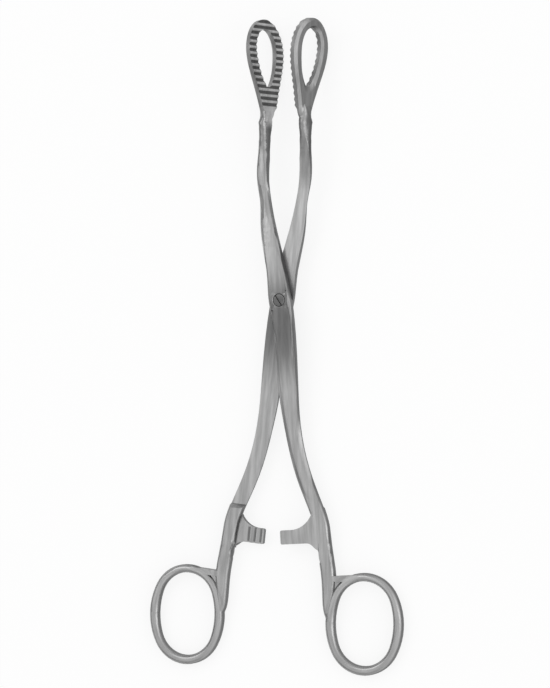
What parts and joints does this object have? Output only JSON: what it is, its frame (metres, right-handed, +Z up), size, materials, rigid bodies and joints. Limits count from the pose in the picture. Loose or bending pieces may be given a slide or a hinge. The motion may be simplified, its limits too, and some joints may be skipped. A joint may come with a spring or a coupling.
{
  "type": "uterine polypus forceps",
  "caption": "Long ring-handled steel forceps with oval fenestrated serrated jaws, a slotted screw lap joint, ratchet bars and oval finger rings.",
  "frame": {"origin": "middle of the footprint on the table that the instrument lies on, with the jaws a little open", "axes": "+Y along the instrument towards the jaws, +Z up from the table, +X towards the ring of the front arm"},
  "size_m": [0.104, 0.2494, 0.0197],
  "materials": {
    "forged_steel": "satin ground stainless steel, grain along the shanks",
    "screw_steel": "turned stainless steel with a milled slot"
  },
  "bodies": {
    "rear_arm": {"rear_arm": "forged_steel", "joint_screw": "screw_steel"},
    "front_arm": {"front_arm": "forged_steel"}
  },
  "joints": [
    {"name": "screw_joint", "type": "hinge", "parent": "rear_arm", "child": "front_arm", "pos_m": [0, 0.01634, 0.00673], "axis": [0, -0.0325, 0.9995], "range_deg": [-9.74, 30]}
  ]
}
